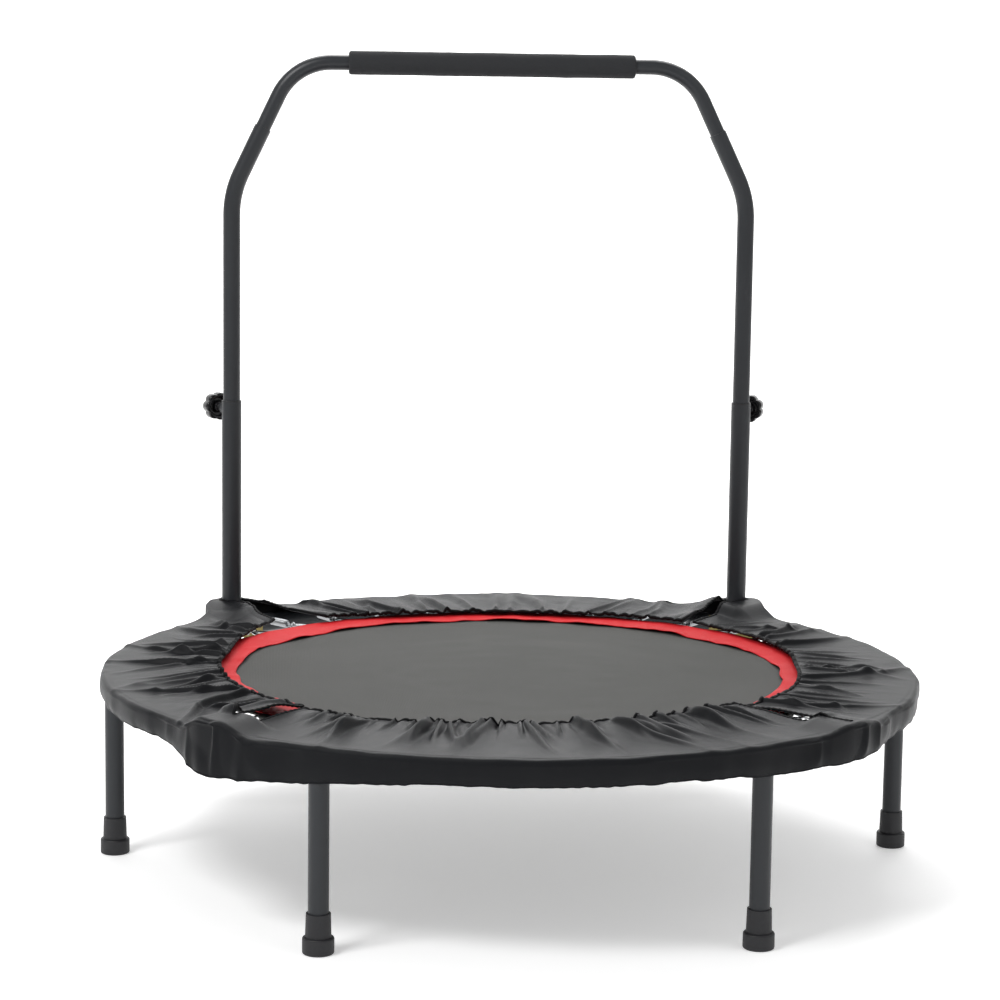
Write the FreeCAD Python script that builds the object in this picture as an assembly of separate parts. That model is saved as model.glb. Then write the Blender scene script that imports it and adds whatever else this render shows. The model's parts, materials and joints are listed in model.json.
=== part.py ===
"""Folding mini trampoline (rebounder) with a U-shaped handrail.

Millimetres. X right, Y to the back (handrail side), Z up. The origin is on the floor under
the centre of the round frame. The frame is four quarter tubes joined by four hinges, and it
folds in half about the line between the back-right and the front-left hinge.
"""

import math
import os

import FreeCAD
import Part

V = FreeCAD.Vector

# round frame
FRAME_R = 493.5
TUBE_R = 12.7
TUBE_WALL = 1.2
TUBE_Z = 220.3
END_GAP = 0.3
ARCS = {"back": 45.0, "left": 135.0, "front": 225.0, "right": 315.0}

# legs and feet
LEG_ANGLES = {"right": 0.0, "back_right": 60.0, "back_left": 120.0, "left": 180.0,
              "front_left": 240.0, "front_right": 300.0}
LEG_R = 11.8
LEG_WALL = 1.2
LEG_TOP = 207.0
LEG_PLUG = 16.0
STUD_R = 5.0
STUD_BOTTOM = 187.0
FOOT_FLOOR = 6.0
FOOT_CAP_R = 18.0
FOOT_CAP_H = 19.0
FOOT_H = 46.0
FOOT_LOW_R = 14.75
FOOT_TOP_R = 14.0

# hinges
AXIS_Z = 242.5
MAIN_HINGE = {"z": AXIS_Z, "eye": 8.0, "pin": 4.0, "flats": 13.0}
SIDE_HINGE = {"z": AXIS_Z - 5.5, "eye": 5.0, "pin": 3.0, "flats": 10.0}
PIN_R = 4.0
PIN_FIT = 0.06
EAR_T = 2.0
OUTER_EAR = 16.5
INNER_EAR = 14.0
EAR_REACH = 36.0
POST_EAR_REACH = 50.0
EAR_LOW = 205.0
EAR_HIGH = 234.0
# angle, pin size, side of the tube that carries the outer ears, length of the outside ear
HINGES = {"back_right": (45.0, MAIN_HINGE, 1, POST_EAR_REACH),
          "back_left": (135.0, SIDE_HINGE, -1, POST_EAR_REACH),
          "front_left": (225.0, MAIN_HINGE, -1, EAR_REACH),
          "front_right": (315.0, SIDE_HINGE, -1, EAR_REACH)}

# bed
BED_Z = 228.5
MAT_R = 396.0
MAT_T = 2.4
FOLD_GAP = 1.0
TAB_HALF = 9.0
TAB_OUT = 404.0
TAB_HALF_H = 2.6
BAND_IN = 344.0
BAND_OUT = 395.0
BAND_Z = 231.2
BAND_T = 1.5

# springs and their V-rings
SPRINGS_PER_ARC = 9
SPRING_IN = 428.0
SPRING_OUT = 466.0
SPRING_R = 5.5
HOOK_WIRE_R = 1.3
HOOK_BEND = 3.6
HOOK_TIP = 488.2
HOLE_R = 2.5
RING_WIRE_R = 1.75
RING_BASE = 400.0
RING_TOP = 418.0
RING_BASE_HALF = 14.0
RING_TOP_HALF = 5.0

# spring cover
COVER_T = 1.5
COVER_IN_R = 14.0
HEM_R = 368.0
HEM_Z = 236.5
SKIRT_Z = 206.0
COVER_GAP = 3.0
NOTCH_HALF = 38.0

# handrail posts, in the frame of the hinge beside each post
POST_OUT = 530.0
POST_SIDE = 30.0
POST_R = 13.5
POST_BORE = 12.4
POST_BOTTOM = 195.0
POST_TOP = 527.0
LINER_R = 12.38
LINER_BORE = 11.75
LINER_LEN = 60.0
LINER_FLANGE = 1.5
BRACKET_LOW = 201.0
BRACKET_HIGH = 233.0
BRACKET_T = 3.0
POST_BOLT_Z = (208.0, 225.0)

# handrail
RAIL_R = 11.7
RAIL_WALL = 1.3
RAIL_BOTTOM = 412.0
BEND_Z = 812.0
TOP_Z = 989.0
TOP_X = 268.8
LOW_BEND_R = 130.0
TOP_BEND_R = 80.0
SEAM = 98.0
PLUG_LEN = 45.0
TOP_TUBE_R = 10.3
GRIP_R = 16.0
GRIP_LEN = 391.0

# clamp knobs
KNOB_Z = 516.0
KNOB_YAW = 25.0
BOSS_R = 8.0
BOSS_END = 25.0
KNOB_IN = 40.0
KNOB_LEN = 17.0
KNOB_R = 16.5
LOBES = 7
LOBE_R = 4.2
LOBE_AT = 15.3


def polar(radius, angle, z=0.0):
    """Point at a radius and an angle (degrees, counter-clockwise from +X)."""
    a = math.radians(angle)
    return V(radius * math.cos(a), radius * math.sin(a), z)


def turned(shape, angle):
    """Copy of a shape turned about the vertical centre line."""
    copy = shape.copy()
    copy.rotate(V(0, 0, 0), V(0, 0, 1), angle)
    return copy


def box(x0, x1, y0, y1, z0, z1):
    """Box between limits given in either order."""
    xs = sorted((x0, x1))
    ys = sorted((y0, y1))
    zs = sorted((z0, z1))
    return Part.makeBox(xs[1] - xs[0], ys[1] - ys[0], zs[1] - zs[0], V(xs[0], ys[0], zs[0]))


def rod(radius, start, end):
    """Round bar between two points."""
    return Part.makeCylinder(radius, (end - start).Length, start, end - start)


def prism(points, direction):
    """Polygon pushed along a direction."""
    return Part.Face(Part.makePolygon(points + [points[0]])).extrude(direction)


def hexagon(flats, start, direction, height):
    """Hexagonal nut or bolt head, one flat up, that grows from a point along a direction."""
    radius = flats / math.sqrt(3.0)
    corners = []
    for i in range(6):
        a = math.radians(60 * i + 30)
        corners.append(V(radius * math.cos(a), radius * math.sin(a), 0))
    solid = prism(corners, V(0, 0, height))
    solid.Placement = FreeCAD.Placement(start, FreeCAD.Rotation(V(0, 0, 1), direction))
    return solid


def fused(shapes):
    """One solid from touching or overlapping shapes."""
    first = shapes[0]
    joined = first.fuse(shapes[1:]) if len(shapes) > 1 else first
    return joined.removeSplitter()


def save(name, shape):
    """Write one node."""
    shape.exportStep("parts/" + name + ".step")


def ring_torus(radius):
    """Solid torus along the frame's centre line."""
    return Part.makeTorus(FRAME_R, radius, V(0, 0, TUBE_Z), V(0, 0, 1))


def spring_angles(start):
    """Angles of the springs on the quarter that begins at an angle."""
    step = 90.0 / SPRINGS_PER_ARC
    return [start + step * (i + 0.5) for i in range(SPRINGS_PER_ARC)]


def frame_arc(start):
    """Quarter of the round frame: bent tube with spring holes and welded leg studs."""
    trim = math.degrees(END_GAP / FRAME_R)
    centre = V(FRAME_R, 0, TUBE_Z)
    outer = Part.Wire(Part.Circle(centre, V(0, 1, 0), TUBE_R).toShape())
    inner = Part.Wire(Part.Circle(centre, V(0, 1, 0), TUBE_R - TUBE_WALL).toShape())
    profile = Part.Face(outer).cut(Part.Face(inner))
    tube = profile.revolve(V(0, 0, 0), V(0, 0, 1), 90.0 - 2 * trim)
    tube = turned(tube, start + trim)
    studs = []
    for angle in LEG_ANGLES.values():
        if 0 < (angle - start) % 360 < 90:
            studs.append(rod(STUD_R, polar(FRAME_R, angle, STUD_BOTTOM), polar(FRAME_R, angle, TUBE_Z - 11.9)))
    arc = fused([tube.Solids[0]] + studs)
    holes = [rod(HOLE_R, polar(478.0, a, BED_Z), polar(489.5, a, BED_Z)) for a in spring_angles(start)]
    return arc.cut(Part.makeCompound(holes))


def hinge_leaf(phi, hinge, side, ear, reach):
    """U-shaped hinge leaf under one tube end, with an ear and an eye on each side of the tube.

    hinge is MAIN_HINGE or SIDE_HINGE. side is +1 when the leaf's tube runs counter-clockwise from
    the hinge, else -1. ear is the distance from the tube's centre line to the inside of an ear.
    reach is the outer ear's length.
    """
    level = hinge["z"]
    eye = hinge["eye"]
    pieces = []
    for flank in (-1, 1):
        near = FRAME_R + flank * ear
        far = FRAME_R + flank * (ear + EAR_T)
        length = reach if flank > 0 else EAR_REACH
        outline = [(0.37 * eye, level + 0.92 * eye), (20.0, EAR_HIGH), (length, EAR_HIGH),
                   (length, EAR_LOW), (10.0, EAR_LOW), (-0.69 * eye, level - 0.72 * eye)]
        points = [V(near, side * y, z) for y, z in outline]
        pieces.append(prism(points, V(far - near, 0, 0)))
        pieces.append(rod(eye, V(near, 0, level), V(far, 0, level)))
        pad = FRAME_R + flank * 11.0
        pieces.append(box(pad, near, side * 10.0, side * EAR_REACH, EAR_LOW, EAR_HIGH - 2.0))
    under_in = FRAME_R - ear - EAR_T
    under_out = FRAME_R + ear + EAR_T
    pieces.append(box(under_in, under_out, side * 14.0, side * 34.0, EAR_LOW, EAR_LOW + EAR_T))
    leaf = fused(pieces)
    leaf = leaf.cut(ring_torus(TUBE_R + 0.02))
    hole = hinge["pin"] + PIN_FIT
    leaf = leaf.cut(rod(hole, V(FRAME_R - 30, 0, level), V(FRAME_R + 30, 0, level)))
    leaf = max(leaf.Solids, key=lambda solid: solid.Volume)
    return turned(leaf, phi)


def hinge_pin(phi, hinge):
    """Radial bolt through the four ears, hexagon head on the outside."""
    end = OUTER_EAR + EAR_T
    level = hinge["z"]
    shank = rod(hinge["pin"], V(FRAME_R - end - 7.5, 0, level), V(FRAME_R + end + 1.0, 0, level))
    head = hexagon(hinge["flats"], V(FRAME_R + end + 0.1, 0, level), V(1, 0, 0), 5.3)
    return turned(fused([shank, head]), phi)


def hinge_nut(phi, hinge):
    """Lock nut on the inner end of a hinge pin."""
    end = OUTER_EAR + EAR_T
    level = hinge["z"]
    nut = hexagon(hinge["flats"], V(FRAME_R - end - 0.1, 0, level), V(-1, 0, 0), 6.4)
    bore = rod(hinge["pin"] + 0.03, V(FRAME_R - end - 10, 0, level), V(FRAME_R, 0, level))
    return turned(nut.cut(bore), phi)


def leg(angle):
    """Steel leg tube with a threaded plug in its top."""
    foot = polar(FRAME_R, angle, FOOT_FLOOR)
    top = polar(FRAME_R, angle, LEG_TOP)
    tube = rod(LEG_R, foot, top)
    bore = rod(LEG_R - LEG_WALL, foot, polar(FRAME_R, angle, LEG_TOP - LEG_PLUG))
    thread = rod(STUD_R + 0.05, foot, polar(FRAME_R, angle, LEG_TOP + 1.0))
    return tube.cut(bore).cut(thread)


def foot_cap(angle):
    """Rubber foot: wide cap on the floor with a tapered sleeve up the leg."""
    cap = Part.makeCylinder(FOOT_CAP_R, FOOT_CAP_H)
    rims = [edge for edge in cap.Edges if edge.BoundBox.ZLength < 0.001]
    cap = cap.makeFillet(2.2, rims)
    sleeve = Part.makeCone(FOOT_LOW_R, FOOT_TOP_R, FOOT_H - FOOT_CAP_H + 1.0, V(0, 0, FOOT_CAP_H - 1.0))
    bore = Part.makeCylinder(LEG_R + 0.03, FOOT_H, V(0, 0, FOOT_FLOOR))
    foot = fused([cap, sleeve]).cut(bore)
    foot.translate(polar(FRAME_R, angle))
    return foot


def bed_spring(angle):
    """Tension spring: coil body as one bar, a hook round the V-ring and a hook in the frame."""
    coil = rod(SPRING_R, V(SPRING_IN, 0, BED_Z), V(SPRING_OUT, 0, BED_Z))
    inner = rod(HOOK_WIRE_R, V(RING_TOP + HOOK_BEND, 0, BED_Z), V(SPRING_IN + 1, 0, BED_Z))
    centre = V(RING_TOP, 0, BED_Z)
    bend = Part.makeTorus(HOOK_BEND, HOOK_WIRE_R, centre, V(0, -1, 0), -180, 180, 200)
    outer = rod(HOOK_WIRE_R, V(SPRING_OUT - 1, 0, BED_Z), V(HOOK_TIP, 0, BED_Z))
    tip = rod(HOOK_WIRE_R, V(HOOK_TIP, 0, BED_Z + 0.9), V(HOOK_TIP, 0, BED_Z - 5.0))
    return turned(fused([coil, inner, bend, outer, tip]), angle)


def v_ring(angle):
    """Closed wire ring between the mat's edge loop and a spring hook."""
    corners = [V(RING_BASE, -RING_BASE_HALF, BED_Z), V(RING_BASE, RING_BASE_HALF, BED_Z),
               V(RING_TOP, RING_TOP_HALF, BED_Z), V(RING_TOP, -RING_TOP_HALF, BED_Z)]
    pieces = []
    for i, corner in enumerate(corners):
        pieces.append(rod(RING_WIRE_R, corner, corners[(i + 1) % 4]))
        pieces.append(Part.makeSphere(RING_WIRE_R, corner))
    return turned(fused(pieces), angle)


def half_disc(radius, z0, z1, side):
    """Half disc on one side of the fold line; side is +1 for the back-left half."""
    disc = Part.makeCylinder(radius, z1 - z0, V(0, 0, z0))
    keep = box(-600, 600, side * FOLD_GAP, side * 600, z0 - 5, z1 + 5)
    return disc.common(turned(keep, 45.0))


def mat(side, starts):
    """Half of the jumping mat with a sewn edge loop for every V-ring."""
    sheet = half_disc(MAT_R, BED_Z - MAT_T / 2, BED_Z + MAT_T / 2, side)
    loops = []
    for start in starts:
        for angle in spring_angles(start):
            tab = box(MAT_R - 4.0, TAB_OUT, -TAB_HALF, TAB_HALF, BED_Z - TAB_HALF_H, BED_Z + TAB_HALF_H)
            loops.append(turned(tab, angle))
    whole = fused([sheet] + loops)
    bores = []
    for start in starts:
        for angle in spring_angles(start):
            bore = rod(RING_WIRE_R + 0.15, V(RING_BASE, -20, BED_Z), V(RING_BASE, 20, BED_Z))
            bores.append(turned(bore, angle))
    return whole.cut(Part.makeCompound(bores))


def edge_band(side):
    """Half of the coloured band round the mat's edge."""
    disc = half_disc(BAND_OUT, BAND_Z, BAND_Z + BAND_T, side)
    return disc.cut(Part.makeCylinder(BAND_IN, 20, V(0, 0, BAND_Z - 10)))


def cover_profile():
    """Section of the spring cover: skirt, round over the tube, level over the springs to the hem."""
    inside = [(FRAME_R + COVER_IN_R, SKIRT_Z)]
    outside = [(FRAME_R + COVER_IN_R + COVER_T, SKIRT_Z)]
    for step in range(4):
        a = math.radians(30.0 * step)
        inside.append((FRAME_R + COVER_IN_R * math.cos(a), TUBE_Z + COVER_IN_R * math.sin(a)))
        out = COVER_IN_R + COVER_T
        outside.append((FRAME_R + out * math.cos(a), TUBE_Z + out * math.sin(a)))
    inside.append((HEM_R, HEM_Z))
    outside.append((HEM_R, HEM_Z + COVER_T))
    return [V(x, 0, z) for x, z in outside + inside[::-1]]


def tent(phi, side):
    """Pocket of the cover round one handrail post."""
    low = SKIRT_Z
    high = EAR_HIGH + 0.6 + COVER_T
    shell = box(497.0, 548.0, side * 21.0, side * 60.0, low, high)
    room = box(490.0, 548.0 - COVER_T, side * 5.0, side * (60.0 - COVER_T), low - 1, high - COVER_T)
    shell = shell.cut(room).cut(ring_torus(COVER_IN_R))
    shell = shell.cut(rod(POST_R + 0.4, V(POST_OUT, side * POST_SIDE, low), V(POST_OUT, side * POST_SIDE, high + 5)))
    return turned(shell, phi)


def cover_sector(start):
    """Quarter of the spring cover, open round the hinges at both of its ends."""
    profile = cover_profile()
    face = Part.Face(Part.makePolygon(profile + [profile[0]]))
    body = turned(face.revolve(V(0, 0, 0), V(0, 0, 1), 90.0), start)
    for phi in (start, start + 90.0):
        body = body.cut(turned(box(300, 560, -COVER_GAP, COVER_GAP, 190, 250), phi))
        body = body.cut(turned(box(462, 560, -NOTCH_HALF, NOTCH_HALF, 190, 250), phi))
    if start == ARCS["back"]:
        room_high = EAR_HIGH + 0.6
        for phi, side in ((45.0, 1), (135.0, -1)):
            room = box(509.5, 546.0, side * 12.0, side * 58.0, 190, room_high)
            body = body.cut(turned(room, phi))
            body = body.fuse(tent(phi, side))
        body = body.removeSplitter()
    return max(body.Solids, key=lambda solid: solid.Volume)


def at_post(shape, side):
    """Place a shape built on the Z axis onto a post's axis; side is +1 for the right post."""
    copy = shape.copy()
    copy.translate(post_axis(side))
    return copy


def post_axis(side):
    """Foot point of a post's axis; side is +1 for the right post."""
    phi = 45.0 if side > 0 else 135.0
    return turned(Part.Vertex(V(POST_OUT, side * POST_SIDE, 0)), phi).Point


def knob_way(side):
    """Direction in which a clamp knob points."""
    a = math.radians(KNOB_YAW)
    return V(side * math.sin(a), math.cos(a), 0)


def along_knob(side, radius, start, end):
    """Bar on a knob's axis between two distances from the post's axis."""
    way = knob_way(side)
    level = V(0, 0, KNOB_Z)
    return at_post(rod(radius, level + way * start, level + way * end), side)


def lower_post(side):
    """Lower post tube with the welded nut boss of its clamp knob."""
    tube = at_post(Part.makeCylinder(POST_R, POST_TOP - POST_BOTTOM, V(0, 0, POST_BOTTOM)), side)
    post = tube.fuse(along_knob(side, BOSS_R, 9.0, BOSS_END)).removeSplitter()
    post = post.cut(at_post(Part.makeCylinder(POST_BORE, 400, V(0, 0, POST_BOTTOM - 10)), side))
    post = post.cut(along_knob(side, PIN_R + PIN_FIT, 0.0, BOSS_END + 5))
    for level in POST_BOLT_Z:
        post = post.cut(post_bolt_bar(side, PIN_R + 0.1, level, -25, 25))
    return post


def post_bolt_bar(side, radius, level, start, end):
    """Bar along a post bolt's axis, measured from the post's axis away from the hinge."""
    phi = 45.0 if side > 0 else 135.0
    first = V(POST_OUT, side * (POST_SIDE + start), level)
    last = V(POST_OUT, side * (POST_SIDE + end), level)
    return turned(rod(radius, first, last), phi)


def post_liner(side):
    """Plastic guide sleeve in the top of a lower post."""
    sleeve = Part.makeCylinder(LINER_R, LINER_LEN, V(0, 0, POST_TOP - LINER_LEN))
    flange = Part.makeCylinder(POST_R, LINER_FLANGE, V(0, 0, POST_TOP))
    liner = fused([sleeve, flange]).cut(Part.makeCylinder(LINER_BORE, 200, V(0, 0, 400)))
    liner = at_post(liner, side)
    return liner.cut(along_knob(side, PIN_R + 0.3, 5.0, 20.0))


def post_bracket(side):
    """Channel that holds the foot of a post on the outer ear of the hinge leaf."""
    phi = 45.0 if side > 0 else 135.0
    back = OUTER_EAR + EAR_T + FRAME_R
    half = POST_R + 0.05
    low = POST_SIDE - half - BRACKET_T
    high = POST_SIDE + half + BRACKET_T
    web = box(back, back + BRACKET_T, side * low, side * high, BRACKET_LOW, BRACKET_HIGH)
    ear_a = box(back, 540.0, side * low, side * (low + BRACKET_T), BRACKET_LOW, BRACKET_HIGH)
    ear_b = box(back, 540.0, side * (high - BRACKET_T), side * high, BRACKET_LOW, BRACKET_HIGH)
    bracket = turned(fused([web, ear_a, ear_b]), phi)
    for level in POST_BOLT_Z:
        bracket = bracket.cut(post_bolt_bar(side, PIN_R + 0.1, level, -25, 25))
    return bracket


def post_bolt(side, level):
    """Bolt through bracket and post, head on the side away from the hinge."""
    phi = 45.0 if side > 0 else 135.0
    face = POST_R + 0.05 + BRACKET_T
    head = hexagon(13.0, V(POST_OUT, side * (POST_SIDE + face + 0.05), level), V(0, side, 0), 5.3)
    return fused([post_bolt_bar(side, PIN_R, level, -face - 7.0, face + 1.0), turned(head, phi)])


def post_nut(side, level):
    """Nut of a post bolt."""
    phi = 45.0 if side > 0 else 135.0
    face = POST_R + 0.05 + BRACKET_T
    nut = hexagon(13.0, V(POST_OUT, side * (POST_SIDE - face - 0.05), level), V(0, -side, 0), 6.0)
    return turned(nut, phi).cut(post_bolt_bar(side, PIN_R + 0.03, level, -40, 0))


def pipe(points, radii, radius):
    """Round bar along a polyline whose inner corners are rounded to the given radii."""
    edges = []
    here = points[0]
    for i in range(1, len(points) - 1):
        before = (points[i - 1] - points[i]).normalize()
        after = (points[i + 1] - points[i]).normalize()
        half = before.getAngle(after) / 2.0
        setback = radii[i - 1] / math.tan(half)
        enter = points[i] + before * setback
        leave = points[i] + after * setback
        middle_way = (before + after).normalize()
        middle = points[i] + middle_way * (radii[i - 1] / math.sin(half) - radii[i - 1])
        edges.append(Part.makeLine(here, enter))
        edges.append(Part.Arc(enter, middle, leave).toShape())
        here = leave
    edges.append(Part.makeLine(here, points[-1]))
    path = Part.Wire(edges)
    start_way = (points[1] - points[0]).normalize()
    section = Part.Wire(Part.Circle(points[0], start_way, radius).toShape())
    return path.makePipeShell([section], True, False)


def rail_points(side):
    """Corners of the handrail on one side: foot, low bend, top bend."""
    axis = post_axis(side)
    foot = V(axis.x, axis.y, RAIL_BOTTOM)
    low = V(axis.x, axis.y, BEND_Z)
    top = V(side * TOP_X, axis.y, TOP_Z)
    return foot, low, top


def seam_screw_bar(side, radius, start, end):
    """Bar on the axis of the screw that locks a seam, measured from the tube's centre."""
    foot, low, top = rail_points(side)
    spot = low + (top - low).normalize() * (SEAM - 16.0)
    return rod(radius, spot + V(0, start, 0), spot + V(0, end, 0))


def side_tube(side):
    """Side tube of the handrail, from inside the lower post up to the seam."""
    foot, low, top = rail_points(side)
    seam = low + (top - low).normalize() * SEAM
    tube = pipe([foot, low, seam], [LOW_BEND_R], RAIL_R)
    tube = tube.cut(pipe([foot, low, seam], [LOW_BEND_R], RAIL_R - RAIL_WALL))
    return tube.cut(seam_screw_bar(side, 2.6, 0.0, 20.0))


def top_bar():
    """Top piece of the handrail, plugged into both side tubes."""
    right_foot, right_low, right_top = rail_points(1)
    left_foot, left_low, left_top = rail_points(-1)
    right_end = right_low + (right_top - right_low).normalize() * (SEAM - PLUG_LEN)
    left_end = left_low + (left_top - left_low).normalize() * (SEAM - PLUG_LEN)
    corners = [right_end, right_top, left_top, left_end]
    bar = pipe(corners, [TOP_BEND_R, TOP_BEND_R], TOP_TUBE_R)
    bar = bar.cut(pipe(corners, [TOP_BEND_R, TOP_BEND_R], TOP_TUBE_R - RAIL_WALL))
    for side in (-1, 1):
        bar = bar.cut(seam_screw_bar(side, 2.6, 0.0, 20.0))
    return bar


def seam_screw(side):
    """Screw that locks one seam of the handrail, on the back of the tube."""
    shank = seam_screw_bar(side, 2.5, 6.0, RAIL_R + 0.5)
    head = seam_screw_bar(side, 4.6, RAIL_R + 0.05, RAIL_R + 2.6)
    return fused([shank, head])


def foam_grip():
    """Foam sleeve on the straight part of the top bar."""
    y = post_axis(1).y
    sleeve = rod(GRIP_R, V(-GRIP_LEN / 2, y, TOP_Z), V(GRIP_LEN / 2, y, TOP_Z))
    ends = [edge for edge in sleeve.Edges if edge.BoundBox.XLength < 0.001]
    sleeve = sleeve.makeFillet(3.0, ends)
    return sleeve.cut(rod(TOP_TUBE_R + 0.03, V(-300, y, TOP_Z), V(300, y, TOP_Z)))


def clamp_knob(side):
    """Lobed hand knob with a hollow inner face and a hub on the screw."""
    end = KNOB_IN + KNOB_LEN
    pieces = [along_knob(side, KNOB_R, KNOB_IN, end)]
    way = knob_way(side)
    across = V(-way.y, way.x, 0)
    for i in range(LOBES):
        a = 2 * math.pi * i / LOBES
        shift = across * (LOBE_AT * math.cos(a)) + V(0, 0, LOBE_AT * math.sin(a))
        lobe = along_knob(side, LOBE_R, KNOB_IN, end)
        lobe.translate(shift)
        pieces.append(lobe)
    knob = fused(pieces)
    hollow = along_knob(side, 13.0, KNOB_IN - 1, KNOB_IN + 9.0)
    hollow = hollow.cut(along_knob(side, 6.5, KNOB_IN - 2, KNOB_IN + 10.0))
    knob = knob.cut(hollow)
    return knob.cut(along_knob(side, PIN_R + 0.02, KNOB_IN - 2, KNOB_IN + 12.0))


def knob_screw(side):
    """Clamp screw fixed in the knob; its tip faces the side tube."""
    return along_knob(side, PIN_R, RAIL_R + 0.3, KNOB_IN + 11.9)


def main():
    os.makedirs("parts", exist_ok=True)
    for name, start in ARCS.items():
        save("frame_arc_" + name, frame_arc(start))
        save("cover_" + name, cover_sector(start))
    for name, (phi, hinge, side, reach) in HINGES.items():
        save("hinge_" + name + "_leaf_outer", hinge_leaf(phi, hinge, side, OUTER_EAR, reach))
        save("hinge_" + name + "_leaf_inner", hinge_leaf(phi, hinge, -side, INNER_EAR, EAR_REACH))
        save("hinge_" + name + "_pin", hinge_pin(phi, hinge))
    nuts = [hinge_nut(*HINGES[name][:2]) for name in ("back_right", "back_left", "front_left")]
    save("hinge_nuts_back_half", Part.makeCompound(nuts))
    save("hinge_nut_front_half", hinge_nut(*HINGES["front_right"][:2]))
    for name, angle in LEG_ANGLES.items():
        save("leg_" + name, leg(angle))
        save("foot_" + name, foot_cap(angle))
    halves = {"back_half": (1, (45.0, 135.0)), "front_half": (-1, (225.0, 315.0))}
    for name, (side, starts) in halves.items():
        angles = [angle for start in starts for angle in spring_angles(start)]
        save("springs_" + name, Part.makeCompound([bed_spring(a) for a in angles]))
        save("v_rings_" + name, Part.makeCompound([v_ring(a) for a in angles]))
        save("mat_" + name, mat(side, starts))
        save("edge_band_" + name, edge_band(side))
    bolt_spots = [(side, level) for side in (-1, 1) for level in POST_BOLT_Z]
    save("post_bolts", Part.makeCompound([post_bolt(*spot) for spot in bolt_spots]))
    save("post_nuts", Part.makeCompound([post_nut(*spot) for spot in bolt_spots]))
    for name, side in (("left", -1), ("right", 1)):
        save("lower_post_" + name, lower_post(side))
        save("post_liner_" + name, post_liner(side))
        save("post_bracket_" + name, post_bracket(side))
        save("handrail_side_" + name, side_tube(side))
        save("clamp_knob_" + name, clamp_knob(side))
        save("knob_screw_" + name, knob_screw(side))
    save("handrail_top_bar", top_bar())
    save("seam_screws", Part.makeCompound([seam_screw(-1), seam_screw(1)]))
    save("foam_grip", foam_grip())


main()
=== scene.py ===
"""Looks of the folding mini trampoline: cloth, springs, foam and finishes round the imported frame."""

import json
import math

import bpy
import numpy as np
from mathutils import Matrix, Vector


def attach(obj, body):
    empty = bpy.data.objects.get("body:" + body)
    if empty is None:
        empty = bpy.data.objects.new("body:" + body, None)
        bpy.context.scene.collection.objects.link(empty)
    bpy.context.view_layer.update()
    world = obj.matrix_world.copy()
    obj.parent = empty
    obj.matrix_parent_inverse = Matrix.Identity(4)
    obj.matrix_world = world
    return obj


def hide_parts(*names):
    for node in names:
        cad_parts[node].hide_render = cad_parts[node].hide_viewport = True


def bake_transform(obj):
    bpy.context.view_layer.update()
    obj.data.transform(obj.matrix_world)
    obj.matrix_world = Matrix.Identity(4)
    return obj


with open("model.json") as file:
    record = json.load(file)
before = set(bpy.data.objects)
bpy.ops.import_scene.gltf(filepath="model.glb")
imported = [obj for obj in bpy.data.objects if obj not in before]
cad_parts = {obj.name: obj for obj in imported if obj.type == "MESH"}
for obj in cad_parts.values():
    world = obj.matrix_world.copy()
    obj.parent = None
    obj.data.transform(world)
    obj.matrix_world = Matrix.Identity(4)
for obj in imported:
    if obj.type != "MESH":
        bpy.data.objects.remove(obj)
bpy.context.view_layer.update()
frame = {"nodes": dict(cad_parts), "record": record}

# ---------------------------------------------------------------- sizes, metres

BED_Z = 0.2285
MAT_R = 0.396
BAND_IN = 0.341
BAND_OUT = 0.395
BAND_Z = 0.2312
TOP_Z = 0.2362
SKIRT_AT = 0.5085
SKIRT_LOW = 0.2065
CORNER_R = 0.0055
HINGES = (45.0, 135.0, 225.0, 315.0)
POST_AT = (0.3536, 0.3960)
POST_RADIUS = math.hypot(*POST_AT)
POST_ANGLES = (math.degrees(math.atan2(POST_AT[1], POST_AT[0])),
               math.degrees(math.atan2(POST_AT[1], -POST_AT[0])))
POST_HOLE = 0.0158
RING_TOP = 0.418
SPRING_IN = 0.428
SPRING_OUT = 0.466
SPRINGS_CLEAR_Z = 0.2357
WIRE_R = 0.0011
COIL_R = 0.0044
COIL_TURNS = 15
HOOK_R = 0.0036
CLOTH_T = 0.0009
MAT_HALF = 0.0010
MAT_SAG = 0.0015
BAND_MIDDLE = 0.37
COVER_MIDDLE = 0.46
HEM_R = 0.3635
HEM_Z = 0.2385
KNOB_LOBES = 7
KNOB_YAW = 25.0
KNOB_Z = 0.516
GRIP_HALF = 0.1955
GRIP_R = 0.0160
GRIP_BORE_R = 0.0106
GRIP_Z = 0.989

# ---------------------------------------------------------------- noise and small maths


def smooth(t):
    """Smooth step of values clipped to 0..1."""
    t = np.clip(t, 0.0, 1.0)
    return t * t * (3.0 - 2.0 * t)


def bump(x, half):
    """1 at x = 0 and smoothly 0 beyond the half width."""
    return smooth(1.0 - np.abs(x) / half)


def turn_gap(angle, target):
    """Signed difference of two angles in degrees, within -180..180."""
    return (angle - target + 180.0) % 360.0 - 180.0


def signed(angle):
    """Angles of 0..360 degrees as -180..180."""
    return np.where(angle > 180.0, angle - 360.0, angle)


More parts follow.
